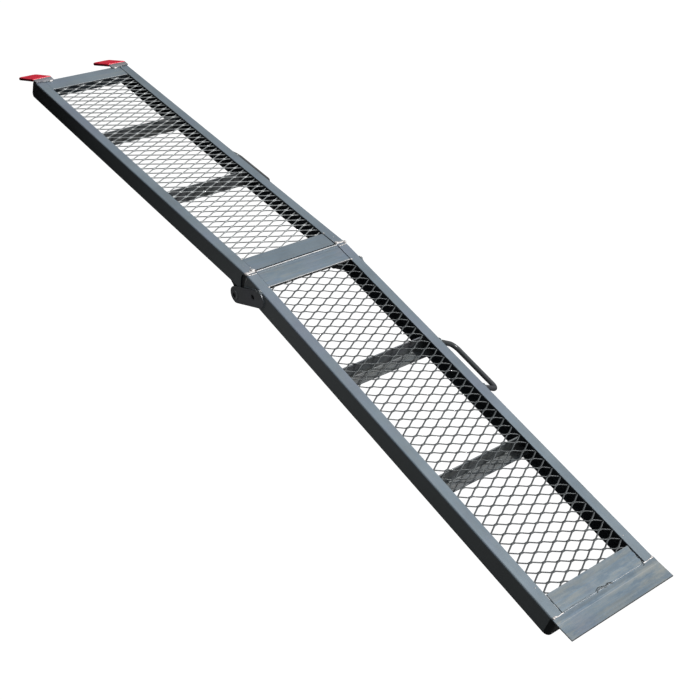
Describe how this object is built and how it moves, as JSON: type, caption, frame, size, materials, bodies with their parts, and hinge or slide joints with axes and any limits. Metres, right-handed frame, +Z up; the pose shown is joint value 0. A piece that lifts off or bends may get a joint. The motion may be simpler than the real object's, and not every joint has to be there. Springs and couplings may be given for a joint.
{
  "type": "folding loading ramp",
  "caption": "Folding arched loading ramp with an expanded-metal deck, red-coated tailgate hooks, side carrying handles and a bolted middle hinge.",
  "frame": {"origin": "on the ground under the middle of the whole part's bounding box, with the ramp open as an arch and the ends of both pairs of rails on the ground; the deck's centreline is 28.64 mm to the -Y side of it, because the handles stand out on the +Y side only", "axes": "+X along the ramp from the tailgate hooks to the toe, +Y across the ramp towards the side with the handles, +Z up"},
  "size_m": [2.3762, 0.3786, 0.1322],
  "materials": {
    "grey_paint": "blue-grey semi-gloss coat on folded sheet steel, with faint streaks",
    "dark_grey_paint": "darker grey semi-gloss coat on bar and angle steel",
    "mesh_paint": "grey coat on raised expanded metal, worn brighter along the strand tops",
    "red_coating": "smooth red dipped vinyl, semi-gloss",
    "zinc_steel": "dull zinc plate"
  },
  "bodies": {
    "upper_section": {"upper_rail_near": "grey_paint", "upper_rail_far": "grey_paint", "upper_end_crossmember": "grey_paint", "upper_joint_crossmember": "grey_paint", "upper_crossbar_outer": "dark_grey_paint", "upper_crossbar_inner": "dark_grey_paint", "upper_mesh": "mesh_paint", "hook_plate_near": "grey_paint", "hook_plate_far": "grey_paint", "hook_coating_near": "red_coating", "hook_coating_far": "red_coating", "upper_handle": "dark_grey_paint", "upper_hinge_lug_near": "dark_grey_paint", "upper_hinge_lug_far": "dark_grey_paint", "pivot_bolt_near": "zinc_steel", "pivot_bolt_far": "zinc_steel", "pivot_spacer_near": "zinc_steel", "pivot_spacer_far": "zinc_steel", "pivot_washer_near": "zinc_steel", "pivot_washer_far": "zinc_steel", "pivot_nut_near": "zinc_steel", "pivot_nut_far": "zinc_steel"},
    "lower_section": {"lower_rail_near": "grey_paint", "lower_rail_far": "grey_paint", "lower_joint_crossmember": "grey_paint", "lower_end_crossmember": "grey_paint", "lower_end_skirt": "dark_grey_paint", "toe_plate": "grey_paint", "lower_crossbar_inner": "dark_grey_paint", "lower_crossbar_outer": "dark_grey_paint", "lower_mesh": "mesh_paint", "lower_handle": "dark_grey_paint", "lower_hinge_arm_near": "grey_paint", "lower_hinge_arm_far": "grey_paint"}
  },
  "joints": [
    {"name": "fold", "type": "hinge", "parent": "upper_section", "child": "lower_section", "pos_m": [0.01249, -0.02864, 0.04945], "axis": [0, 1, 0], "range_deg": [0, 174.5]}
  ]
}
